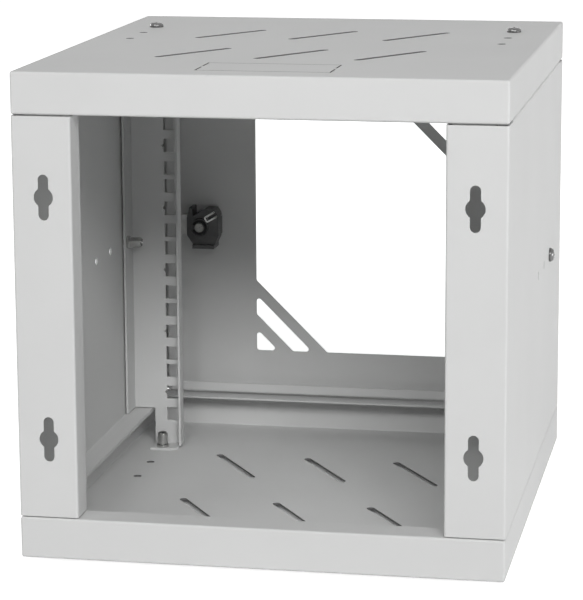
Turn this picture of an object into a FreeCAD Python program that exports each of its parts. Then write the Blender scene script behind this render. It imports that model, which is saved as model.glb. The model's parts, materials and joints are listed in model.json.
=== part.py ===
import FreeCAD, Part
import math
import os

# Ten-inch wall cabinet of folded sheet steel, six rack units high, in millimetres.
# Frame: the door is at -Y, the wall side with the keyholes at +Y, +Z is up.
# The origin lies under the middle of the cabinet, level with the lowest screw heads.

V = FreeCAD.Vector
X_AXIS = V(1, 0, 0)
Y_AXIS = V(0, 1, 0)
Z_AXIS = V(0, 0, 1)

# Case
side_space = 39.0
case_depth = 340.0
unit_pitch = 44.45
unit_count = 6
end_margin = 17.65
sheet = 1.2
bend_inside = 0.3
seam = 0.8

# Top and bottom trays
tray_skirt = 26.0
end_lip = 20.5
side_lip = 16.0
mitre_gap = 0.6
mitre_relief = 3.0
vent_width = 5.0
vent_length = 66.0
vent_angle = 57.0
vent_column_pitch = 63.0
vent_columns = 3
vent_row_pitch = 113.0
vent_rows = 2
knockout_width = 83.0
knockout_depth = 39.5
knockout_margin = 0.5
knockout_cut = 1.0
knockout_bridge = 4.0

# Side panels
column_width = 37.0
column_return = 20.0
front_flange = 12.7
keyhole_inset = 19.5
keyhole_spacing = 150.0
keyhole_round = 12.0
keyhole_slot = 6.5
keyhole_length = 28.0

# Rack rails
rack_opening = 222.0
square_hole_inset = 7.2625
rail_sheet = 1.5
rail_setback = 64.5
rail_side_flange = 22.0
rail_inner_flange = 11.0
rail_lip_clearance = 2.2
rail_wall_gap = 1.0
foot_depth = 17.5
foot_corner = 4.0
square_hole = 9.5
hole_inset = 6.35
hole_step = 15.875
mark_height = 3.0
mark_depth = 1.6

# Screws and nuts of the rails, and the three depths at which a rail can be fixed
thread_diameter = 5.0
screw_length = 13.6
thread_chamfer = 0.8
head_diameter = 9.5
head_height = 3.3
head_rim = 1.2
head_crown = 4.4
recess_width = 4.2
recess_slot = 1.1
recess_depth = 1.8
nut_collar_diameter = 9.0
nut_collar_height = 2.4
nut_barrel_diameter = 7.0
nut_height = 10.5
nut_chamfer = 0.8
screw_clearance = 0.3
thread_clearance = 0.05
foot_screw_inset = 8.0
foot_screw_back = 12.5
side_screw_back = 16.5
position_pitch = 37.0
position_count = 3

# Door
door_gap = 2.3
door_return = 13.0
door_lip = 7.0
window_width = 152.0
window_height = 186.0
window_offset = 5.4
window_corner = 4.0
pattern_corner = 2.0
pattern_triangle = 16.0
pattern_bar = 10.9
pattern_slot = 14.4
glass_thickness = 4.0
glass_overlap = 12.0
glass_corner = 5.0
glass_chamfer = 0.6
tape_thickness = 0.8
tape_width = 9.0
tape_inset = 1.0

# Door pivots
pivot_inset = 6.0
pin_diameter = 5.0
pin_head_diameter = 9.0
pin_head_height = 1.5
pin_engagement = 5.0
bush_wall = 1.5
bush_flange_diameter = 9.0
running_clearance = 0.05
seat_gap = 0.3
overcut = 1.0

# Door lock: a key plug whose drive pin slides a flat bolt behind the side panel
lock_inset = 26.0
bolt_height = 14.0
bolt_thickness = 2.5
bolt_gap = 0.8
bolt_throw = 8.0
bolt_tip_inset = 0.6
bolt_tail = 13.0
drive_pin_diameter = 2.5
drive_clearance = 0.35
driver_diameter = 14.0
driver_thickness = 1.4
plug_front_diameter = 9.0
plug_neck_diameter = 5.0
plug_rear_diameter = 7.0
plug_rear_proud = 0.6
key_slot_height = 5.0
key_slot_width = 1.6
key_slot_depth = 2.0
stem_diameter = 16.0
stem_bore_clearance = 0.3
collar_diameter = 22.0
collar_thickness = 2.8
collar_chamfer = 1.0
housing_depth = 14.0
housing_left = 9.8
housing_right = 13.4
housing_waist = 6.2
housing_bottom = 12.8
housing_foot = 2.8
housing_foot_left = 5.4
housing_foot_right = 10.6
housing_foot_proud = 2.4
housing_roof = [(-12.6, 9.6), (-10.4, 13.2), (-3.6, 13.2), (5.4, 7.8), (5.8, 14.0), (8.0, 14.0)]
boss_diameter = 13.0
boss_height = 3.0
boss_recess_diameter = 12.0
boss_recess_depth = 2.0
circlip_thickness = 0.7
circlip_groove_depth = 0.5
circlip_outside = 10.8
circlip_opening = 3.2
plug_chamfer = 0.4
clip_strip = 1.2
clip_leg = 8.0
clip_span = 4.8
clip_width = 5.0
clip_tilt = 150.0
clip_offset_x = 8.2
clip_offset_z = 7.8

# Levels and faces that follow from the sizes above
bend_outside = bend_inside + sheet
case_height = unit_pitch * unit_count + 2 * end_margin
half_width = rack_opening / 2 + side_space
base_z = head_height
middle_z = base_z + case_height / 2
lip_z = base_z + tray_skirt
rear_y = (case_depth + tape_thickness + glass_thickness) / 2
front_y = rear_y - case_depth
screw_radius = thread_diameter / 2
screw_hole_radius = screw_radius + screw_clearance
lip_edge_x = half_width - side_lip
rail_edge_x = rack_opening / 2
square_hole_x = rail_edge_x + square_hole_inset
rail_outer_x = half_width - sheet - rail_wall_gap
rail_narrow_x = lip_edge_x - rail_lip_clearance
rail_face_y = front_y + rail_setback
foot_screw_x = rail_narrow_x - foot_screw_inset
foot_screw_y = rail_face_y + foot_screw_back
side_screw_y = rail_face_y + side_screw_back
door_half = half_width - front_flange - door_gap
door_low_z = lip_z + door_gap
door_high_z = 2 * middle_z - door_low_z
pivot_x = -(door_half - pivot_inset)
pivot_y = front_y + pivot_inset
bush_radius = pin_diameter / 2 + running_clearance + bush_wall
window_x = -window_offset
lock_x = door_half - lock_inset
lock_z = middle_z
door_inside_y = front_y + sheet
bolt_front_y = door_inside_y + bolt_gap
bolt_back_y = bolt_front_y + bolt_thickness
pocket_back_y = bolt_back_y + seat_gap
housing_back_y = door_inside_y + housing_depth
boss_back_y = housing_back_y + boss_height
drive_radius = bolt_throw / math.sqrt(2)


def block(x_low, x_high, y_low, y_high, z_low, z_high):
    return Part.makeBox(x_high - x_low, y_high - y_low, z_high - z_low, V(x_low, y_low, z_low))


def rounded_block(x_low, x_high, y_low, y_high, z_low, z_high, radius):
    solid = block(x_low, x_high, y_low, y_high, z_low, z_high)
    return solid.makeFillet(radius, solid.Edges)


def rounded_path(points, radius):
    """Edges along a line of points, with every inner corner rounded."""
    edges = []
    start = points[0]
    for before, corner, after in zip(points, points[1:], points[2:]):
        back = (before - corner).normalize()
        ahead = (after - corner).normalize()
        half = back.getAngle(ahead) / 2
        reach = radius / math.tan(half)
        first = corner + back * reach
        last = corner + ahead * reach
        middle = corner + (back + ahead).normalize() * (radius / math.sin(half) - radius)
        if first.distanceToPoint(start) > 1e-6:
            edges.append(Part.LineSegment(start, first).toShape())
        edges.append(Part.Arc(first, middle, last).toShape())
        start = last
    edges.append(Part.LineSegment(start, points[-1]).toShape())
    return edges


def rounded_polygon(points, radius):
    """Face inside a closed line of points, with every corner rounded."""
    start = (points[0] + points[-1]) * 0.5
    edges = rounded_path([start] + points + [start], radius)
    return Part.Face(Part.Wire(Part.__sortEdges__(edges)))


def polygon(points):
    return Part.Face(Part.makePolygon(points + [points[0]]))


def offset_left(points, distance):
    """The line of points moved to its left in the XY plane, with right-angled corners kept."""
    moved = []
    for index, point in enumerate(points):
        shift = V(0, 0, 0)
        for start in {max(index - 1, 0), min(index, len(points) - 2)}:
            run = (points[start + 1] - points[start]).normalize()
            shift = shift + V(-run.y, run.x, 0) * distance
        moved.append(point + shift)
    return moved


def folded(points, thickness, height):
    """Sheet folded at right angles to the left along its outer line, extruded along +Z."""
    outer = rounded_path(points, bend_inside + thickness)
    inner_points = offset_left(points, thickness)
    inner = rounded_path(inner_points, bend_inside)
    ends = [
        Part.LineSegment(points[0], inner_points[0]).toShape(),
        Part.LineSegment(points[-1], inner_points[-1]).toShape(),
    ]
    wire = Part.Wire(Part.__sortEdges__(outer + inner + ends))
    return Part.Face(wire).extrude(Z_AXIS * height)


def rod(radius, start, direction, length):
    return Part.makeCylinder(radius, length, start, direction)


def turned(outline):
    """Solid of revolution about Z from (radius, height) points."""
    points = [V(radius, 0, height) for radius, height in outline]
    return polygon(points).revolve(V(0, 0, 0), Z_AXIS, 360)


def aimed(solid, position, direction):
    """Moves a solid that stands on the origin along +Z to a position and a direction."""
    placed = solid.copy()
    turn = FreeCAD.Rotation(Z_AXIS, direction)
    placed.Placement = FreeCAD.Placement(position, turn)
    return placed


def stadium(length, width, angle, centre, depth):
    """Round-ended slot cutter of the given overall length, standing along +Z."""
    reach = (length - width) / 2
    radius = width / 2
    straight = block(-reach, reach, -radius, radius, 0, depth)
    ends = [rod(radius, V(side * reach, 0, 0), Z_AXIS, depth) for side in (-1, 1)]
    slot = straight.multiFuse(ends)
    slot.rotate(V(0, 0, 0), Z_AXIS, angle)
    slot.translate(centre)
    return slot


def mirrored(shape):
    return shape.mirror(V(0, 0, 0), X_AXIS)


def half_turn(shape):
    """The shape turned upside down about the case's depth axis."""
    turned_shape = shape.copy()
    turned_shape.rotate(V(0, 0, middle_z), Y_AXIS, 180)
    return turned_shape


def tray_shell():
    outer = rounded_block(
        -half_width, half_width, front_y, rear_y, base_z, lip_z, bend_outside)
    inner = rounded_block(
        -half_width + sheet, half_width - sheet, front_y + sheet, rear_y - sheet,
        base_z + sheet, lip_z - sheet, bend_inside)
    opening = block(
        -lip_edge_x, lip_edge_x, front_y + end_lip, rear_y - end_lip,
        lip_z - 2 * sheet, lip_z + sheet)
    return outer.cut([inner, opening])


def mitre_cuts():
    """Open joint lines where two lips of a tray meet, stopping short of the corner."""
    length = math.hypot(side_lip, end_lip)
    reach = length - mitre_relief
    angle = math.degrees(math.atan2(end_lip, side_lip))
    cuts = []
    for side in (-1, 1):
        for end, edge_y in ((-1, front_y + end_lip), (1, rear_y - end_lip)):
            cut = block(-sheet, reach, -mitre_gap / 2, mitre_gap / 2, -2 * sheet, sheet)
            turn = end * angle if side > 0 else 180 - end * angle
            cut.rotate(V(0, 0, 0), Z_AXIS, turn)
            cut.translate(V(side * lip_edge_x, edge_y, lip_z))
            cuts.append(cut)
    return cuts


def vent_cuts():
    cuts = []
    for row in range(vent_rows):
        y = rear_y - vent_row_pitch * (row + 1)
        for column in range(vent_columns):
            x = (column - (vent_columns - 1) / 2) * vent_column_pitch
            centre = V(x, y, base_z - sheet)
            cuts.append(stadium(vent_length, vent_width, -vent_angle, centre, 3 * sheet))
    return cuts


def knockout_cuts():
    """Cut lines round the cable knock-out, which hangs on two bridges in its short sides."""
    edge_x = knockout_width / 2
    near_y = rear_y - end_lip - knockout_margin
    far_y = near_y - knockout_depth
    bridge_low = (near_y + far_y - knockout_bridge) / 2
    bridge_high = bridge_low + knockout_bridge
    low, high = base_z - sheet, base_z + 2 * sheet
    cuts = [
        block(-edge_x, edge_x, near_y - knockout_cut, near_y, low, high),
        block(-edge_x, edge_x, far_y, far_y + knockout_cut, low, high),
    ]
    for side in (-1, 1):
        x_low = side * edge_x - (knockout_cut if side > 0 else 0)
        cuts.append(block(x_low, x_low + knockout_cut, far_y, bridge_low, low, high))
        cuts.append(block(x_low, x_low + knockout_cut, bridge_high, near_y, low, high))
    return cuts


def tray_screw_holes():
    cuts = []
    for side in (-1, 1):
        for step in range(position_count):
            start = V(side * foot_screw_x, foot_screw_y + step * position_pitch, base_z - sheet)
            cuts.append(rod(screw_hole_radius, start, Z_AXIS, 3 * sheet))
    return cuts


def pin_hole():
    start = V(pivot_x, pivot_y, lip_z - 2 * sheet)
    return rod(pin_diameter / 2 + thread_clearance, start, Z_AXIS, 3 * sheet)


def tray(pivot):
    """Bottom tray, with the hole of the door's pivot pin in its front lip."""
    cuts = mitre_cuts() + vent_cuts() + knockout_cuts() + tray_screw_holes() + [pivot]
    return tray_shell().cut(cuts)


def keyhole(z):
    """Double keyhole cutter: a round hole with a slot above and below it."""
    x = half_width - keyhole_inset
    start = V(x, rear_y - 2 * sheet, z)
    slot = stadium(keyhole_length, keyhole_slot, 90, V(0, 0, 0), 3 * sheet)
    slot.rotate(V(0, 0, 0), X_AXIS, 90)
    slot.translate(V(x, rear_y + sheet, z))
    return slot.fuse(rod(keyhole_round / 2, start, Y_AXIS, 3 * sheet))


def side_screw_holes():
    cuts = []
    for step in range(position_count):
        start = V(half_width - 2 * sheet, side_screw_y + step * position_pitch, middle_z)
        cuts.append(rod(screw_hole_radius, start, X_AXIS, 3 * sheet))
    return cuts


def side_panel():
    """Side panel at +X: front flange, wall and rear column, with lips that lie on the trays'."""
    low, high = lip_z, 2 * middle_z - lip_z
    column_x = half_width - column_width
    outline = [
        V(half_width - front_flange, front_y, 0),
        V(half_width, front_y, 0),
        V(half_width, rear_y, 0),
        V(column_x, rear_y, 0),
        V(column_x, rear_y - column_return, 0),
    ]
    wall = folded(outline, sheet, high - low - 2 * seam)
    wall.translate(V(0, 0, low + seam))
    lip_front_y = front_y + end_lip + seam
    lip_rear_y = rear_y - end_lip - seam
    for edge_low, edge_high in ((low, low + bend_outside), (high - bend_outside, high)):
        relief = block(
            half_width - 2 * sheet, half_width + sheet, lip_front_y, lip_rear_y,
            edge_low, edge_high)
        wall = wall.cut(relief)
    lips = folded(
        [
            V(lip_edge_x, low, 0),
            V(half_width, low, 0),
            V(half_width, high, 0),
            V(lip_edge_x, high, 0),
        ],
        sheet, lip_rear_y - lip_front_y)
    lips.rotate(V(0, 0, 0), X_AXIS, 90)
    lips.translate(V(0, lip_rear_y, 0))
    spacing = keyhole_spacing / 2
    keyholes = [keyhole(middle_z - spacing), keyhole(middle_z + spacing)]
    panel = wall.fuse(lips).removeSplitter()
    return panel.cut(keyholes + side_screw_holes())


def square_holes():
    """Equipment holes: three in each rack unit, the middle one with a marking notch."""
    cuts = []
    x = square_hole_x
    half = square_hole / 2
    first_z = middle_z - unit_count * unit_pitch / 2 + hole_inset
    low, high = rail_face_y - rail_sheet, rail_face_y + 2 * rail_sheet
    for unit in range(unit_count):
        for step in range(3):
            z = first_z + unit * unit_pitch + step * hole_step
            cuts.append(block(x - half, x + half, low, high, z - half, z + half))
        mark_z = first_z + unit * unit_pitch + hole_step
        mark = polygon([
            V(x + half - rail_sheet / 2, low, mark_z - mark_height / 2),
            V(x + half, low, mark_z - mark_height / 2),
            V(x + half + mark_depth, low, mark_z),
            V(x + half, low, mark_z + mark_height / 2),
            V(x + half - rail_sheet / 2, low, mark_z + mark_height / 2),
        ])
        cuts.append(mark.extrude(Y_AXIS * (high - low)))
    return cuts


def rail_foot(z_low):
    """Foot bent back from the rail's face, with the corner beside the inner flange cut off."""
    inside_x = rail_edge_x + rail_sheet + bend_inside
    tall = rail_sheet + 2 * bend_inside + rail_sheet
    outline = [
        V(rail_face_y + foot_depth, z_low, 0),
        V(rail_face_y, z_low, 0),
        V(rail_face_y, z_low + tall, 0),
    ]
    foot = folded(list(reversed(outline)), rail_sheet, rail_narrow_x - inside_x)
    foot.rotate(V(0, 0, 0), V(1, 1, 1), 120)
    foot.translate(V(inside_x, 0, 0))
    end_y = rail_face_y + foot_depth
    corner = polygon([
        V(inside_x - foot_corner, end_y, z_low), V(inside_x, end_y - foot_corner, z_low),
        V(inside_x + foot_corner, end_y, z_low), V(inside_x, end_y + foot_corner, z_low),
    ])
    start = V(foot_screw_x, foot_screw_y, z_low - rail_sheet)
    hole = rod(screw_hole_radius, start, Z_AXIS, 3 * rail_sheet)
    return foot.cut([corner.extrude(Z_AXIS * tall), hole])


def rack_rail():
    """Rail at +X, bolted to the side panel at mid-height and to both trays by its feet."""
    foot_z = base_z + sheet
    top_z = 2 * middle_z - foot_z
    face_low = foot_z + rail_sheet + bend_inside
    face_high = 2 * middle_z - face_low
    outline = [
        V(rail_edge_x, rail_face_y + rail_inner_flange, 0),
        V(rail_edge_x, rail_face_y, 0),
        V(rail_outer_x, rail_face_y, 0),
        V(rail_outer_x, rail_face_y + rail_side_flange, 0),
    ]
    face = folded(outline, rail_sheet, face_high - face_low)
    face.translate(V(0, 0, face_low))
    clear_z = lip_z + sheet + seam
    for low, high in ((foot_z, clear_z), (2 * middle_z - clear_z, top_z)):
        relief = block(
            rail_narrow_x, rail_outer_x + overcut, rail_face_y - overcut,
            rail_face_y + rail_side_flange + overcut, low, high)
        face = face.cut(relief)
    foot = rail_foot(foot_z)
    top_foot = foot.mirror(V(0, 0, middle_z), Z_AXIS)
    rail = face.multiFuse([foot, top_foot]).removeSplitter()
    start = V(rail_outer_x - 2 * rail_sheet, side_screw_y, middle_z)
    hole = rod(screw_hole_radius, start, X_AXIS, 3 * rail_sheet)
    return rail.cut(square_holes() + [hole])


def pan_screw():
    """Rounded-head screw with its head's seat on the origin and its thread along +Z."""
    radius = screw_radius
    head = head_diameter / 2
    crown = head_crown / 2
    crown_start = V(head, 0, -head_rim)
    crown_end = V(crown, 0, -head_height)
    run, rise = head - crown, head_height - head_rim
    crown_radius = (run ** 2 + rise ** 2) / (2 * rise)
    half_arc = math.atan2(run, crown_radius - rise) / 2
    middle = crown_end + V(
        crown_radius * math.sin(half_arc), 0, crown_radius * (1 - math.cos(half_arc)))
    points = [
        crown_end, V(0, 0, -head_height), V(0, 0, screw_length),
        V(radius - thread_chamfer, 0, screw_length), V(radius, 0, screw_length - thread_chamfer),
        V(radius, 0, 0), V(head, 0, 0), crown_start,
    ]
    edges = Part.makePolygon(points).Edges + [Part.Arc(crown_start, middle, crown_end).toShape()]
    profile = Part.Face(Part.Wire(Part.__sortEdges__(edges)))
    screw = profile.revolve(V(0, 0, 0), Z_AXIS, 360)
    half = recess_width / 2
    slot = recess_slot / 2
    low, high = -head_height - overcut, -head_height + recess_depth
    cross = [block(-half, half, -slot, slot, low, high), block(-slot, slot, -half, half, low, high)]
    return screw.cut(cross)


def press_nut():
    """Press nut on the origin along +Z: a collar and a barrel open for the screw's tip."""
    bore = screw_radius + thread_clearance
    collar = nut_collar_diameter / 2
    barrel = nut_barrel_diameter / 2
    return turned([
        (bore, 0), (collar, 0), (collar, nut_collar_height - nut_chamfer),
        (collar - nut_chamfer, nut_collar_height), (barrel, nut_collar_height),
        (barrel, nut_height - nut_chamfer), (barrel - nut_chamfer, nut_height), (bore, nut_height),
    ])


def screw_places():
    """Head seats and directions of the six rail screws, then the nut seats beside each."""
    places = []
    top_z = 2 * middle_z - base_z
    stack = sheet + rail_sheet
    for side in (-1, 1):
        x = side * foot_screw_x
        places.append((V(x, foot_screw_y, base_z), Z_AXIS, stack))
        places.append((V(x, foot_screw_y, top_z), -Z_AXIS, stack))
        side_seat = V(side * half_width, side_screw_y, middle_z)
        places.append((side_seat, X_AXIS * -side, stack + rail_wall_gap))
    return places


def rail_screws():
    screw = pan_screw()
    return Part.Compound([aimed(screw, seat, way) for seat, way, stack in screw_places()])


def rail_nuts():
    nut = press_nut()
    return Part.Compound(
        [aimed(nut, seat + way * stack, way) for seat, way, stack in screw_places()])


def pivot_pin():
    """Lower pivot pin: its head sits under the tray's lip and its shank stands in the bush."""
    radius = pin_diameter / 2
    head = pin_head_diameter / 2
    seat = lip_z - sheet
    tip = door_low_z + sheet + pin_engagement
    pin = turned([
        (0, seat - pin_head_height), (head, seat - pin_head_height), (head, seat),
        (radius, seat), (radius, tip - radius / 2), (radius / 2, tip), (0, tip),
    ])
    pin.translate(V(pivot_x, pivot_y, 0))
    return pin


def pivot_bush():
    """Lower nylon bush: a flange under the door and a sleeve through its folded edge."""
    bore = pin_diameter / 2 + running_clearance
    flange = bush_flange_diameter / 2
    low = lip_z + seat_gap
    high = door_low_z + sheet + pin_engagement
    bush = turned([
        (bore, low), (flange, low), (flange, door_low_z), (bush_radius, door_low_z),
        (bush_radius, high), (bore, high),
    ])
    bush.translate(V(pivot_x, pivot_y, 0))
    return bush


def both_pivots(piece):
    return Part.Compound([piece, piece.mirror(V(0, 0, middle_z), Z_AXIS)])


def door_shell():
    lip = door_lip
    outer = rounded_block(
        -door_half, door_half, front_y, front_y + door_return, door_low_z, door_high_z,
        bend_outside)
    inner = rounded_block(
        -door_half + sheet, door_half - sheet, front_y + sheet, front_y + door_return - sheet,
        door_low_z + sheet, door_high_z - sheet, bend_inside)
    opening = block(
        -door_half + lip, door_half - lip, front_y + door_return - 2 * sheet,
        front_y + door_return + sheet, door_low_z + lip, door_high_z - lip)
    return outer.cut([inner, opening])


def door_mitres():
    """Open joint lines at the four corners of the door's lip."""
    reach = math.sqrt(2) * door_lip - mitre_relief / 2
    cuts = []
    for side in (-1, 1):
        for z, up in ((door_low_z + door_lip, -1), (door_high_z - door_lip, 1)):
            cut = block(-sheet, reach, -2 * sheet, sheet, -mitre_gap / 2, mitre_gap / 2)
            angle = -45 * up if side > 0 else -180 + 45 * up
            cut.rotate(V(0, 0, 0), Y_AXIS, angle)
            cut.translate(V(side * (door_half - door_lip), front_y + door_return, z))
            cuts.append(cut)
    return cuts


def window_cuts():
    """Main window and the diagonal slots in two opposite corners, cut through the door."""
    x, z = window_width / 2, window_height / 2
    start_slot = pattern_triangle + pattern_bar
    end_slot = start_slot + pattern_slot
    chamfer = end_slot + pattern_bar
    depth = Y_AXIS * (3 * sheet)
    main = rounded_polygon(
        [V(x - chamfer, 0, -z), V(x, 0, -z + chamfer), V(x, 0, z), V(-x + chamfer, 0, z),
         V(-x, 0, z - chamfer), V(-x, 0, -z)],
        window_corner / 2).extrude(depth)
    triangle = rounded_polygon(
        [V(x, 0, -z), V(x, 0, -z + pattern_triangle), V(x - pattern_triangle, 0, -z)],
        pattern_corner).extrude(depth)
    slot = rounded_polygon(
        [V(x, 0, -z + start_slot), V(x, 0, -z + end_slot), V(x - end_slot, 0, -z),
         V(x - start_slot, 0, -z)],
        pattern_corner).extrude(depth)
    cuts = [main, triangle, slot]
    for corner in (triangle, slot):
        opposite = corner.copy()
        opposite.rotate(V(0, 0, 0), Y_AXIS, 180)
        cuts.append(opposite)
    for cut in cuts:
        cut.translate(V(window_x, front_y - sheet, middle_z))
    return cuts


def door_frame():
    lock_hole = rod(
        stem_diameter / 2 + thread_clearance, V(lock_x, front_y - sheet, lock_z), Y_AXIS, 3 * sheet)
    reach = bolt_height / 2 + seat_gap
    bolt_slot = block(
        door_half - 2 * sheet, door_half + sheet, bolt_front_y - seat_gap, bolt_back_y + seat_gap,
        lock_z - reach, lock_z + reach)
    bush_hole = rod(
        bush_radius + thread_clearance, V(pivot_x, pivot_y, door_low_z - sheet), Z_AXIS, 3 * sheet)
    top_hole = bush_hole.mirror(V(0, 0, middle_z), Z_AXIS)
    cuts = window_cuts() + door_mitres() + [lock_hole, bolt_slot, bush_hole, top_hole]
    return door_shell().cut(cuts)


def flat_ring_face(half_x, half_z, radius, y):
    left, right = window_x - half_x, window_x + half_x
    low, high = middle_z - half_z, middle_z + half_z
    corners = [V(left, y, low), V(right, y, low), V(right, y, high), V(left, y, high)]
    return rounded_polygon(corners, radius)


def door_glass():
    """Clear safety glass on the front of the door, larger than the window all round."""
    half_x = window_width / 2 + glass_overlap
    half_z = window_height / 2 + glass_overlap
    back_y = front_y - tape_thickness
    pane = flat_ring_face(half_x, half_z, glass_corner, back_y).extrude(Y_AXIS * -glass_thickness)
    rims = [edge for edge in pane.Edges if edge.BoundBox.YLength < 1e-6]
    return pane.makeChamfer(glass_chamfer, rims)


def glass_tape():
    """Bonding tape between the glass and the door, a ring just inside the glass's edge."""
    half_x = window_width / 2 + glass_overlap - tape_inset
    half_z = window_height / 2 + glass_overlap - tape_inset
    back = Y_AXIS * -tape_thickness
    outer = flat_ring_face(half_x, half_z, glass_corner - tape_inset, front_y).extrude(back)
    inner = flat_ring_face(half_x - tape_width, half_z - tape_width, tape_inset, front_y)
    return outer.cut(inner.extrude(back))


def at_lock(x, y, z):
    return V(lock_x + x, y, lock_z + z)


def housing_outline():
    """Outline of the lock's housing round its barrel, with a horn at its upper corner."""
    foot = housing_bottom + housing_foot
    walls = [
        at_lock(housing_left, 0, housing_waist),
        at_lock(housing_left, 0, -housing_waist),
        at_lock(housing_foot_left, 0, -housing_bottom),
        at_lock(housing_foot_left, 0, -foot),
        at_lock(-housing_foot_right, 0, -foot),
        at_lock(-housing_foot_right, 0, -housing_bottom),
        at_lock(-housing_right, 0, -housing_waist),
        at_lock(-housing_right, 0, housing_waist),
    ]
    return walls + [at_lock(x, 0, z) for x, z in housing_roof]


def lock_housing():
    body = polygon(housing_outline()).extrude(Y_AXIS * housing_depth)
    body.translate(V(0, door_inside_y, 0))
    foot = block(
        lock_x - housing_foot_right, lock_x + housing_foot_left,
        housing_back_y, housing_back_y + housing_foot_proud,
        lock_z - housing_bottom - housing_foot, lock_z - housing_bottom)
    boss = rod(boss_diameter / 2, at_lock(0, housing_back_y, 0), Y_AXIS, boss_height)
    pin_reach = drive_radius + drive_pin_diameter / 2
    pocket = block(
        lock_x - bolt_tail - seat_gap, lock_x + housing_left + overcut,
        door_inside_y - overcut, pocket_back_y,
        lock_z - bolt_height / 2 - seat_gap, lock_z + max(bolt_height / 2, pin_reach) + seat_gap)
    bore = rod(
        plug_rear_diameter / 2 + running_clearance, at_lock(0, door_inside_y, 0), Y_AXIS,
        housing_depth + boss_height)
    recess = rod(
        boss_recess_diameter / 2, at_lock(0, boss_back_y - boss_recess_depth, 0), Y_AXIS,
        boss_recess_depth)
    return body.multiFuse([foot, boss]).removeSplitter().cut([pocket, bore, recess])


def lock_collar():
    """Front ring of the lock, with a stem through the door that ends on the housing."""
    stem = stem_diameter / 2
    bore = plug_front_diameter / 2 + running_clearance
    wide_bore = driver_diameter / 2 + stem_bore_clearance
    outer = collar_diameter / 2
    shoulder = collar_thickness + sheet - driver_thickness - seat_gap
    collar = turned([
        (bore, 0), (outer - collar_chamfer, 0), (outer, collar_chamfer), (outer, collar_thickness),
        (stem, collar_thickness), (stem, collar_thickness + sheet),
        (wide_bore, collar_thickness + sheet), (wide_bore, shoulder), (bore, shoulder),
    ])
    collar = aimed(collar, V(0, 0, 0), Y_AXIS)
    collar.translate(at_lock(0, front_y - collar_thickness, 0))
    return collar


def lock_plug():
    """Key plug: front disc with the key slot, driver with its pin, neck and rear barrel."""
    front = plug_front_diameter / 2
    driver = driver_diameter / 2
    neck = plug_neck_diameter / 2
    rear = plug_rear_diameter / 2
    driver_front = door_inside_y - driver_thickness
    floor_y = boss_back_y - boss_recess_depth
    groove_low = floor_y + seat_gap
    groove_high = groove_low + circlip_thickness
    end = boss_back_y + plug_rear_proud
    plug = turned([
        (0, front_y - collar_thickness), (front, front_y - collar_thickness),
        (front, driver_front), (driver, driver_front), (driver, door_inside_y),
        (neck, door_inside_y), (neck, pocket_back_y + seat_gap), (rear, pocket_back_y + seat_gap),
        (rear, groove_low), (rear - circlip_groove_depth, groove_low),
        (rear - circlip_groove_depth, groove_high), (rear, groove_high), (rear, end - plug_chamfer),
        (rear - plug_chamfer, end), (0, end),
    ])
    plug = aimed(plug, V(0, 0, 0), Y_AXIS)
    plug.translate(at_lock(0, 0, 0))
    offset = drive_radius / math.sqrt(2)
    pin = rod(
        drive_pin_diameter / 2, at_lock(-offset, door_inside_y - driver_thickness / 2, offset),
        Y_AXIS, driver_thickness / 2 + pocket_back_y - door_inside_y - seat_gap)
    key_slot = block(
        lock_x - key_slot_width / 2, lock_x + key_slot_width / 2,
        front_y - collar_thickness, front_y - collar_thickness + key_slot_depth,
        lock_z - key_slot_height / 2, lock_z + key_slot_height / 2)
    return plug.fuse(pin).cut(key_slot)


def plug_circlip():
    """Open ring in the plug's groove, which keeps it in the housing."""
    inside = plug_rear_diameter / 2 - circlip_groove_depth + thread_clearance
    start = boss_back_y - boss_recess_depth + seat_gap
    ring = rod(circlip_outside / 2, at_lock(0, start, 0), Y_AXIS, circlip_thickness)
    bore = rod(inside, at_lock(0, start, 0), Y_AXIS, circlip_thickness)
    opening = block(
        lock_x, lock_x + circlip_outside, start, start + circlip_thickness,
        lock_z - circlip_opening / 2, lock_z + circlip_opening / 2)
    return ring.cut([bore, opening])


def lock_bolt():
    """Flat bolt with a slot for the plug's neck and a notch for the drive pin."""
    half = bolt_height / 2
    tip_x = door_half - bolt_tip_inset
    bolt = block(
        lock_x - bolt_tail, tip_x, bolt_front_y, bolt_back_y, lock_z - half, lock_z + half)
    neck = plug_neck_diameter / 2 + drive_clearance
    neck_slot = block(
        lock_x - bolt_throw - neck, lock_x + neck, bolt_front_y, bolt_back_y,
        lock_z - neck, lock_z + neck)
    reach = drive_pin_diameter / 2 + drive_clearance
    offset = drive_radius / math.sqrt(2)
    notch = block(
        lock_x - offset - reach, lock_x - offset + reach, bolt_front_y, bolt_back_y,
        lock_z, lock_z + half)
    return bolt.cut([neck_slot, notch])


def lock_clip():
    """Spring strip bent to a U, seated on the back of the lock's housing."""
    half = clip_span / 2
    outline = [
        V(clip_leg / 2, half, 0), V(-clip_leg / 2, half, 0),
        V(-clip_leg / 2, -half, 0), V(clip_leg / 2, -half, 0),
    ]
    clip = folded(outline, clip_strip, clip_width)
    clip.rotate(V(0, 0, 0), Z_AXIS, clip_tilt)
    clip.rotate(V(0, 0, 0), X_AXIS, 90)
    clip.translate(at_lock(-clip_offset_x, housing_back_y + clip_width, clip_offset_z))
    return clip


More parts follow.
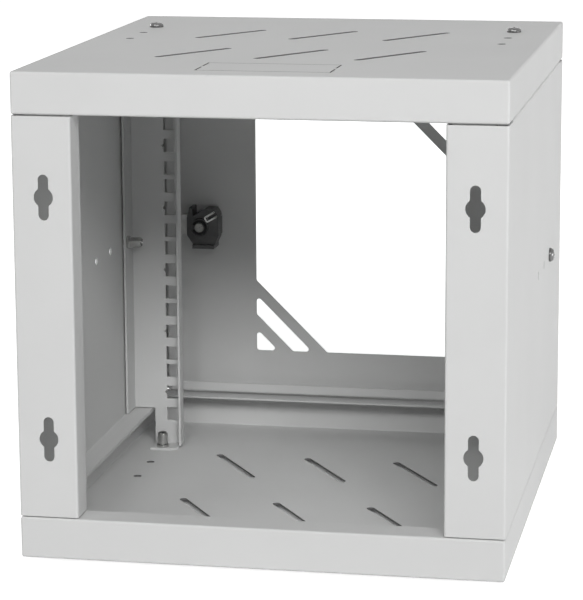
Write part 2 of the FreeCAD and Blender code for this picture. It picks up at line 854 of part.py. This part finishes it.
def build():
    bottom = tray(pin_hole())
    mirrored_pin_hole = mirrored(pin_hole())
    top = half_turn(tray(mirrored_pin_hole))
    panel = side_panel()
    rail = rack_rail()
    return {
        "bottom_tray": bottom,
        "top_tray": top,
        "right_side_panel": panel,
        "left_side_panel": mirrored(panel),
        "right_rack_rail": rail,
        "left_rack_rail": mirrored(rail),
        "rail_screws": rail_screws(),
        "rail_nuts": rail_nuts(),
        "pivot_pins": both_pivots(pivot_pin()),
        "pivot_bushes": both_pivots(pivot_bush()),
        "door_frame": door_frame(),
        "door_glass": door_glass(),
        "glass_tape": glass_tape(),
        "lock_housing": lock_housing(),
        "lock_collar": lock_collar(),
        "lock_clip": lock_clip(),
        "lock_plug": lock_plug(),
        "plug_circlip": plug_circlip(),
        "lock_bolt": lock_bolt(),
    }


def main():
    os.makedirs("parts", exist_ok=True)
    whole = FreeCAD.BoundBox()
    for name, shape in build().items():
        shape.exportStep(f"parts/{name}.step")
        whole.add(shape.BoundBox)
        state = "valid" if shape.isValid() else "NOT VALID"
        print(f"{name}: {len(shape.Solids)} solids, {shape.Volume:.1f} mm3, {state}")
    print(f"width {whole.XLength:.2f}, depth {whole.YLength:.2f}, height {whole.ZLength:.2f}")
    print(f"lowest point {whole.ZMin:.3f}, middle {whole.Center.x:.3f} {whole.Center.y:.3f}")


main()
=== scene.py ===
import bpy
import json
import math
from mathutils import Matrix, Vector


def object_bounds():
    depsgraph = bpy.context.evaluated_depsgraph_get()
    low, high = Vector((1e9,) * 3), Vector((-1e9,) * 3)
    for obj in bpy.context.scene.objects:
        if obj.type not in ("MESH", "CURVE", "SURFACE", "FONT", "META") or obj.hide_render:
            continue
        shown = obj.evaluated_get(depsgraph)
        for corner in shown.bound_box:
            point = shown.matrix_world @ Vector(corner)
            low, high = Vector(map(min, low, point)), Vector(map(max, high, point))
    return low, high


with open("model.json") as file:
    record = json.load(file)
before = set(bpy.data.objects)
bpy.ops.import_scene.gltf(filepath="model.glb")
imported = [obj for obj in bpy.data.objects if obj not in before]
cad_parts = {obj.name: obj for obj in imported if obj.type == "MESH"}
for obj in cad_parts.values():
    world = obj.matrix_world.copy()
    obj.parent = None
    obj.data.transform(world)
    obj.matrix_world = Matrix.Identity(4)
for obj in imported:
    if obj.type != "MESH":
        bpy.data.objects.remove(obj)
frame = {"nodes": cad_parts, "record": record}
cad_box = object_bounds()

# Lengths are in metres, in the cabinet's own frame: door at -Y, wall side at +Y, +Z up.
MM = 0.001
low_corner, high_corner = (Vector(corner) for corner in cad_box)
cabinet_middle = (low_corner + high_corner) / 2

# Camera: behind the cabinet, a little to its left and above, with a long lens
CAMERA_PLACE = Vector((-0.3125, 1.6736, 0.4910))
CAMERA_YAW = math.radians(10.98)
CAMERA_PITCH = math.radians(11.14)
CAMERA_ROLL = math.radians(-0.31)
CAMERA_LENS_MM = 157.7
CAMERA_SENSOR_MM = 36.0
CAMERA_SHIFT_Y = -0.05
CAMERA_REACH = 100.0

# Soft boxes: name, azimuth and elevation in degrees, distance, width, height, watts.
# Azimuth 0 is on the door side, 90 on the cabinet's right and 180 on the wall side.
SOFT_BOXES = [
    ("rear_box", 180, 30, 5.2, 1.0, 1.0, 61.0),
    ("rear_left_box", 200, 30, 5.2, 1.6, 1.6, 103.0),
    ("rear_left_side_box", 215, 30, 5.2, 1.2, 1.2, 26.0),
    ("rear_left_wide_box", 215, 35, 5.2, 2.8, 2.8, 18.0),
    ("rear_right_box", 165, 30, 5.2, 1.6, 1.6, 10.0),
    ("rear_right_high_box", 150, 45, 5.2, 1.6, 1.6, 35.0),
    ("left_strip", 270, 2, 1.6, 1.2, 0.35, 9.5),
    ("right_box", 60, 5, 2.6, 1.4, 1.4, 30.0),
    ("door_side_box", 0, 25, 2.6, 1.8, 1.8, 4.6),
    ("door_side_high_box", 350, 65, 2.6, 1.0, 1.0, 3.0),
]

# Floor: its glow to the camera is low under the cabinet, even up to the first distance from
# the middle and full white past the second.
FLOOR_HALF = 12.0
FLOOR_COLOUR = (0.80, 0.80, 0.80)
FLOOR_DARKER = 0.99
GLOW_UNDER = 0.05
GLOW_AROUND = 0.86
GLOW_FAR = 1.0
UNDER_HALF_WIDTH = 0.138
UNDER_HALF_DEPTH = 0.150
GLOW_START = 0.45
GLOW_END = 1.20

# Painted shade: the walls of slots and holes cut in the trays' sheets are coloured dark,
# standing in for the shade inside them. The sheets lie this far above and below the cabinet's
# middle, and the slots keep this far within their folds.
SLOT_WALL_PAINTED_SHADE_COLOUR = (0.17, 0.17, 0.17, 1.0)
SHEET_START = 149.5 * MM
SLOTS_HALF_WIDTH = 146.0 * MM
SLOTS_HALF_DEPTH = 163.0 * MM
UPRIGHT_TILT = 0.5

# Most values of a noise lie between these two
NOISE_LOW = 0.3
NOISE_HIGH = 0.7

# Plated steels: material name, two colours that blend, lowest and highest roughness
# Painted reflection: the screws' zinc is given a colour far darker than plain zinc, standing in
# for the dark surroundings its heads reflect; the nuts' copy of the same zinc is lighter.
ZINC = ("zinc_plate_with_painted_dark_reflection", (0.13, 0.13, 0.13), (0.19, 0.19, 0.19), 0.16, 0.28)
NUT_ZINC = ("polished_zinc_plate", (0.52, 0.52, 0.51), (0.62, 0.62, 0.61), 0.08, 0.15)
SPRING_STEEL = ("spring_steel", (0.54, 0.54, 0.53), (0.66, 0.66, 0.65), 0.28, 0.42)
DULL_STEEL = ("dull_plated_steel", (0.52, 0.52, 0.51), (0.62, 0.62, 0.61), 0.50, 0.64)
NICKEL = ("nickel_plate", (0.26, 0.26, 0.25), (0.34, 0.34, 0.33), 0.26, 0.38)
BLACK_STEEL = ("blackened_steel", (0.020, 0.020, 0.020), (0.036, 0.036, 0.036), 0.34, 0.46)


def new_material(name):
    material = bpy.data.materials.new(name)
    material.use_nodes = True
    shader = material.node_tree.nodes["Principled BSDF"]
    return material, material.node_tree, shader


def add_node(tree, kind, **settings):
    node = tree.nodes.new(kind)
    for key, value in settings.items():
        if key in node.inputs:
            node.inputs[key].default_value = value
        else:
            setattr(node, key, value)
    return node


def calculate(tree, operation, first, second=None):
    """Output of an arithmetic node fed by one or two values, each a socket or a number."""
    node = add_node(tree, "ShaderNodeMath", operation=operation)
    for place, value in enumerate((first, second)):
        if isinstance(value, bpy.types.NodeSocket):
            tree.links.new(value, node.inputs[place])
        elif value is not None:
            node.inputs[place].default_value = value
    return node.outputs[0]


def within(tree, value, limit):
    """1 where a value is between minus and plus the limit, 0 elsewhere."""
    return calculate(tree, "LESS_THAN", calculate(tree, "ABSOLUTE", value), limit)


def separate(tree, vector):
    """The X, Y and Z of a vector socket."""
    node = add_node(tree, "ShaderNodeSeparateXYZ")
    tree.links.new(vector, node.inputs[0])
    return node.outputs


def noise(tree, scale, detail=2.0):
    """Noise in the cabinet's own frame, so that it runs on from piece to piece."""
    place = add_node(tree, "ShaderNodeTexCoord")
    texture = add_node(tree, "ShaderNodeTexNoise", Scale=scale, Detail=detail)
    tree.links.new(place.outputs["Object"], texture.inputs["Vector"])
    return texture.outputs["Fac"]


def spread(tree, value, low, high, start=NOISE_LOW, end=NOISE_HIGH):
    """A value between start and end spread over the range from low to high."""
    ranged = add_node(tree, "ShaderNodeMapRange")
    ranged.inputs["From Min"].default_value = start
    ranged.inputs["From Max"].default_value = end
    ranged.inputs["To Min"].default_value = low
    ranged.inputs["To Max"].default_value = high
    tree.links.new(value, ranged.inputs["Value"])
    return ranged.outputs["Result"]


def blend_colours(tree, value, first, second):
    """Two colours blended by a noise value."""
    ramp = add_node(tree, "ShaderNodeValToRGB")
    ramp.color_ramp.elements[0].position = NOISE_LOW
    ramp.color_ramp.elements[0].color = (*first, 1)
    ramp.color_ramp.elements[1].position = NOISE_HIGH
    ramp.color_ramp.elements[1].color = (*second, 1)
    tree.links.new(value, ramp.inputs["Fac"])
    return ramp.outputs["Color"]


def soft_edges(tree, radius):
    """Normals rounded over sharp edges, as the coat or a tumbled finish leaves them."""
    bevel = add_node(tree, "ShaderNodeBevel", samples=4)
    bevel.inputs["Radius"].default_value = radius
    return bevel.outputs["Normal"]


def relief(tree, height, strength, distance, normal):
    bump = add_node(tree, "ShaderNodeBump", Strength=strength, Distance=distance)
    tree.links.new(height, bump.inputs["Height"])
    tree.links.new(normal, bump.inputs["Normal"])
    return bump.outputs["Normal"]


def painted_shade_slot_walls(tree):
    """1 on the upright walls of slots and holes cut in a tray's sheet, 0 elsewhere: where shade
    is painted.
    """
    surface = add_node(tree, "ShaderNodeNewGeometry")
    normal = separate(tree, surface.outputs["Normal"])
    place = separate(tree, surface.outputs["Position"])
    upright = within(tree, normal["Z"], UPRIGHT_TILT)
    height = calculate(tree, "SUBTRACT", place["Z"], cabinet_middle.z)
    in_sheet = calculate(tree, "SUBTRACT", 1.0, within(tree, height, SHEET_START))
    in_width = within(tree, place["X"], SLOTS_HALF_WIDTH)
    in_depth = within(tree, place["Y"], SLOTS_HALF_DEPTH)
    in_area = calculate(tree, "MULTIPLY", in_width, in_depth)
    return calculate(tree, "MULTIPLY", calculate(tree, "MULTIPLY", upright, in_sheet), in_area)


def paint_shade_on_slot_walls(tree, colour):
    """A tray's colour with painted shade: darker on the walls of its slots and holes, as the
    shade inside them.
    """
    mix = add_node(tree, "ShaderNodeMix", data_type="RGBA")
    sockets = {socket.identifier: socket for socket in (*mix.inputs, *mix.outputs)}
    tree.links.new(painted_shade_slot_walls(tree), mix.inputs["Factor"])
    tree.links.new(colour, sockets["A_Color"])
    sockets["B_Color"].default_value = SLOT_WALL_PAINTED_SHADE_COLOUR
    return sockets["Result_Color"]


def powder_coat(name, painted_slot_shade=False):
    """Light grey fine-textured powder coat: orange peel, a finer grain and faint cloudiness; on
    the trays, painted shade on the walls of the slots and holes.
    """
    material, tree, shader = new_material(name)
    cloud = noise(tree, scale=9.0, detail=3.0)
    colour = blend_colours(
        tree, cloud, first=(0.600, 0.603, 0.600), second=(0.625, 0.628, 0.625))
    if painted_slot_shade:
        # Painted shade: the walls of the trays' slots and holes are coloured dark to stand in
        # for the shade inside them.
        colour = paint_shade_on_slot_walls(tree, colour)
    tree.links.new(colour, shader.inputs["Base Color"])
    peel = noise(tree, scale=420.0)
    grain = noise(tree, scale=1500.0, detail=3.0)
    tree.links.new(spread(tree, grain, low=0.54, high=0.68), shader.inputs["Roughness"])
    edges = soft_edges(tree, radius=0.35 * MM)
    waves = relief(tree, peel, strength=0.35, distance=0.06 * MM, normal=edges)
    fine = relief(tree, grain, strength=0.30, distance=0.03 * MM, normal=waves)
    tree.links.new(fine, shader.inputs["Normal"])
    shader.inputs["Specular IOR Level"].default_value = 0.27
    return material


def plated_steel(name, first, second, rough_low, rough_high):
    """Plated steel: cloudy tint, uneven gloss and fine tool marks."""
    material, tree, shader = new_material(name)
    cloud = noise(tree, scale=240.0, detail=4.0)
    tree.links.new(blend_colours(tree, cloud, first, second), shader.inputs["Base Color"])
    grain = noise(tree, scale=1800.0)
    tree.links.new(spread(tree, grain, rough_low, rough_high), shader.inputs["Roughness"])
    edges = soft_edges(tree, radius=0.12 * MM)
    marks = relief(tree, grain, strength=0.25, distance=0.02 * MM, normal=edges)
    tree.links.new(marks, shader.inputs["Normal"])
    shader.inputs["Metallic"].default_value = 1.0
    return material


def black_casting():
    """Black painted zinc casting with a fine rippled skin."""
    material, tree, shader = new_material("black_painted_casting")
    cloud = noise(tree, scale=160.0, detail=3.0)
    colour = blend_colours(
        tree, cloud, first=(0.055, 0.055, 0.056), second=(0.085, 0.085, 0.086))
    tree.links.new(colour, shader.inputs["Base Color"])
    ripple = noise(tree, scale=900.0)
    tree.links.new(spread(tree, ripple, low=0.34, high=0.48), shader.inputs["Roughness"])
    edges = soft_edges(tree, radius=0.4 * MM)
    skin = relief(tree, ripple, strength=0.3, distance=0.05 * MM, normal=edges)
    tree.links.new(skin, shader.inputs["Normal"])
    shader.inputs["Coat Weight"].default_value = 0.3
    shader.inputs["Coat Roughness"].default_value = 0.2
    return material


def clear_glass():
    """Clear float glass, a touch green, with faint clouds in its colour."""
    material, tree, shader = new_material("clear_safety_glass")
    cloud = noise(tree, scale=6.0, detail=1.0)
    colour = blend_colours(
        tree, cloud, first=(0.975, 0.995, 0.985), second=(0.982, 0.998, 0.990))
    tree.links.new(colour, shader.inputs["Base Color"])
    shader.inputs["Roughness"].default_value = 0.0
    shader.inputs["Transmission Weight"].default_value = 1.0
    shader.inputs["IOR"].default_value = 1.45
    return material


def foam_tape():
    """Black closed-cell tape with open cells at its cut edges."""
    material, tree, shader = new_material("black_foam_tape")
    cells = add_node(tree, "ShaderNodeTexVoronoi", Scale=2200.0)
    place = add_node(tree, "ShaderNodeTexCoord")
    tree.links.new(place.outputs["Object"], cells.inputs["Vector"])
    pores = cells.outputs["Distance"]
    colour = blend_colours(
        tree, pores, first=(0.016, 0.016, 0.017), second=(0.030, 0.030, 0.031))
    tree.links.new(colour, shader.inputs["Base Color"])
    tree.links.new(spread(tree, pores, low=0.75, high=0.92), shader.inputs["Roughness"])
    edges = soft_edges(tree, radius=0.1 * MM)
    skin = relief(tree, pores, strength=0.5, distance=0.1 * MM, normal=edges)
    tree.links.new(skin, shader.inputs["Normal"])
    return material


def natural_nylon():
    """Creamy white nylon that lets a little light into its skin."""
    material, tree, shader = new_material("natural_nylon")
    cloud = noise(tree, scale=300.0)
    colour = blend_colours(tree, cloud, first=(0.66, 0.65, 0.60), second=(0.74, 0.73, 0.69))
    tree.links.new(colour, shader.inputs["Base Color"])
    tree.links.new(spread(tree, cloud, low=0.35, high=0.5), shader.inputs["Roughness"])
    edges = soft_edges(tree, radius=0.15 * MM)
    skin = relief(tree, cloud, strength=0.2, distance=0.03 * MM, normal=edges)
    tree.links.new(skin, shader.inputs["Normal"])
    shader.inputs["Subsurface Weight"].default_value = 0.15
    shader.inputs["Subsurface Scale"].default_value = 1.0 * MM
    return material


def dress_cad_nodes():
    """Each node gets its own look, or else the look of its material slot."""
    # The trays' coat carries painted shade on the walls of their slots and holes.
    tray_coat_with_painted_slot_shade = powder_coat("light_grey_powder_coat_with_painted_slot_shade", painted_slot_shade=True)
    slot_looks = {
        "powder_coat": powder_coat("light_grey_powder_coat"),
        # The screws' zinc carries painted dark reflection in its colour.
        "zinc_steel": plated_steel(*ZINC),
        "lock_bolt_steel": plated_steel(*DULL_STEEL),
        "lock_brass": plated_steel(*NICKEL),
        "blackened_steel": plated_steel(*BLACK_STEEL),
        "safety_glass": clear_glass(),
        "black_tape": foam_tape(),
        "black_lock": black_casting(),
        "nylon": natural_nylon(),
    }
    own_looks = {
        "top_tray": tray_coat_with_painted_slot_shade,
        "bottom_tray": tray_coat_with_painted_slot_shade,
        "rail_nuts": plated_steel(*NUT_ZINC),
        "lock_clip": plated_steel(*SPRING_STEEL),
    }
    for part in frame["record"]["subparts"]:
        node = part["node"]
        mesh = frame["nodes"][node].data
        mesh.materials.clear()
        mesh.materials.append(own_looks.get(node, slot_looks[part["material_slot"]]))


def studio():
    """Lamps round the cabinet, each turned towards its middle."""
    for name, azimuth, elevation, distance, width, height, power in SOFT_BOXES:
        lamp = bpy.data.lights.new(name, "AREA")
        lamp.shape = "RECTANGLE"
        lamp.size, lamp.size_y = width, height
        lamp.energy = power
        around, up = math.radians(azimuth), math.radians(elevation)
        away = Vector((
            math.sin(around) * math.cos(up), -math.cos(around) * math.cos(up), math.sin(up)))
        box = bpy.data.objects.new(name, lamp)
        box.location = cabinet_middle + away * distance
        box.rotation_euler = away.to_track_quat("Z", "Y").to_euler()
        bpy.context.scene.collection.objects.link(box)


def seen_ray(tree):
    """1 for rays that show the background: camera, glossy and transmission rays."""
    path = add_node(tree, "ShaderNodeLightPath").outputs
    mirrored = calculate(tree, "MAXIMUM", path["Is Glossy Ray"], path["Is Transmission Ray"])
    return calculate(tree, "MAXIMUM", path["Is Camera Ray"], mirrored)


def white_surroundings():
    """A white background that gives no light of its own."""
    world = bpy.data.worlds.new("studio")
    bpy.context.scene.world = world
    world.use_nodes = True
    tree = world.node_tree
    background = tree.nodes["Background"]
    background.inputs["Color"].default_value = (1, 1, 1, 1)
    tree.links.new(seen_ray(tree), background.inputs["Strength"])


def floor_glow(tree):
    """Glow of the floor: low under the cabinet, plain round it and full white far away."""
    place = add_node(tree, "ShaderNodeTexCoord").outputs["Object"]
    spot = separate(tree, place)
    under_x = within(tree, spot["X"], UNDER_HALF_WIDTH)
    under_y = within(tree, spot["Y"], UNDER_HALF_DEPTH)
    under = calculate(tree, "MULTIPLY", under_x, under_y)
    distance = add_node(tree, "ShaderNodeVectorMath", operation="LENGTH")
    tree.links.new(place, distance.inputs[0])
    around = spread(
        tree, distance.outputs["Value"], GLOW_AROUND, GLOW_FAR, GLOW_START, GLOW_END)
    total = add_node(tree, "ShaderNodeMix", data_type="FLOAT")
    tree.links.new(under, total.inputs["Factor"])
    tree.links.new(around, total.inputs["A"])
    total.inputs["B"].default_value = GLOW_UNDER
    return total.outputs["Result"]


def floor_material():
    material, tree, shader = new_material("pale_floor")
    cloud = noise(tree, scale=1.5)
    darker = tuple(value * FLOOR_DARKER for value in FLOOR_COLOUR)
    colour = blend_colours(tree, cloud, FLOOR_COLOUR, darker)
    tree.links.new(colour, shader.inputs["Base Color"])
    shader.inputs["Roughness"].default_value = 0.9
    shader.inputs["Specular IOR Level"].default_value = 0.0
    glow = add_node(tree, "ShaderNodeEmission")
    level = calculate(tree, "MULTIPLY", seen_ray(tree), floor_glow(tree))
    tree.links.new(level, glow.inputs["Strength"])
    both = add_node(tree, "ShaderNodeAddShader")
    tree.links.new(shader.outputs["BSDF"], both.inputs[0])
    tree.links.new(glow.outputs["Emission"], both.inputs[1])
    output = tree.nodes["Material Output"]
    tree.links.new(both.outputs["Shader"], output.inputs["Surface"])
    return material


def pale_floor():
    """Plain pale floor, white to the camera outside the cabinet's shadow."""
    mesh = bpy.data.meshes.new("floor")
    half = FLOOR_HALF
    mesh.from_pydata(
        [(-half, -half, 0), (half, -half, 0), (half, half, 0), (-half, half, 0)], [],
        [(0, 1, 2, 3)])
    mesh.materials.append(floor_material())
    floor = bpy.data.objects.new("floor", mesh)
    bpy.context.scene.collection.objects.link(floor)


def camera():
    """The photograph's view: yaw and pitch aim the lens, and roll turns it about its axis."""
    sin_yaw, cos_yaw = math.sin(CAMERA_YAW), math.cos(CAMERA_YAW)
    sin_pitch, cos_pitch = math.sin(CAMERA_PITCH), math.cos(CAMERA_PITCH)
    forward = Vector((sin_yaw * cos_pitch, -cos_yaw * cos_pitch, -sin_pitch))
    level = Vector((-cos_yaw, -sin_yaw, 0))
    upright = level.cross(forward)
    right = level * math.cos(CAMERA_ROLL) + upright * math.sin(CAMERA_ROLL)
    up = right.cross(forward)
    turn = Matrix((right, up, -forward)).transposed()
    lens = bpy.data.cameras.new("camera")
    lens.lens = CAMERA_LENS_MM
    lens.sensor_width = CAMERA_SENSOR_MM
    lens.shift_y = CAMERA_SHIFT_Y
    lens.clip_end = CAMERA_REACH
    view = bpy.data.objects.new("camera", lens)
    view.matrix_world = Matrix.Translation(CAMERA_PLACE) @ turn.to_4x4()
    bpy.context.scene.collection.objects.link(view)
    bpy.context.scene.camera = view


dress_cad_nodes()
studio()
white_surroundings()
pale_floor()
camera()
bpy.context.scene.view_settings.view_transform = "Standard"
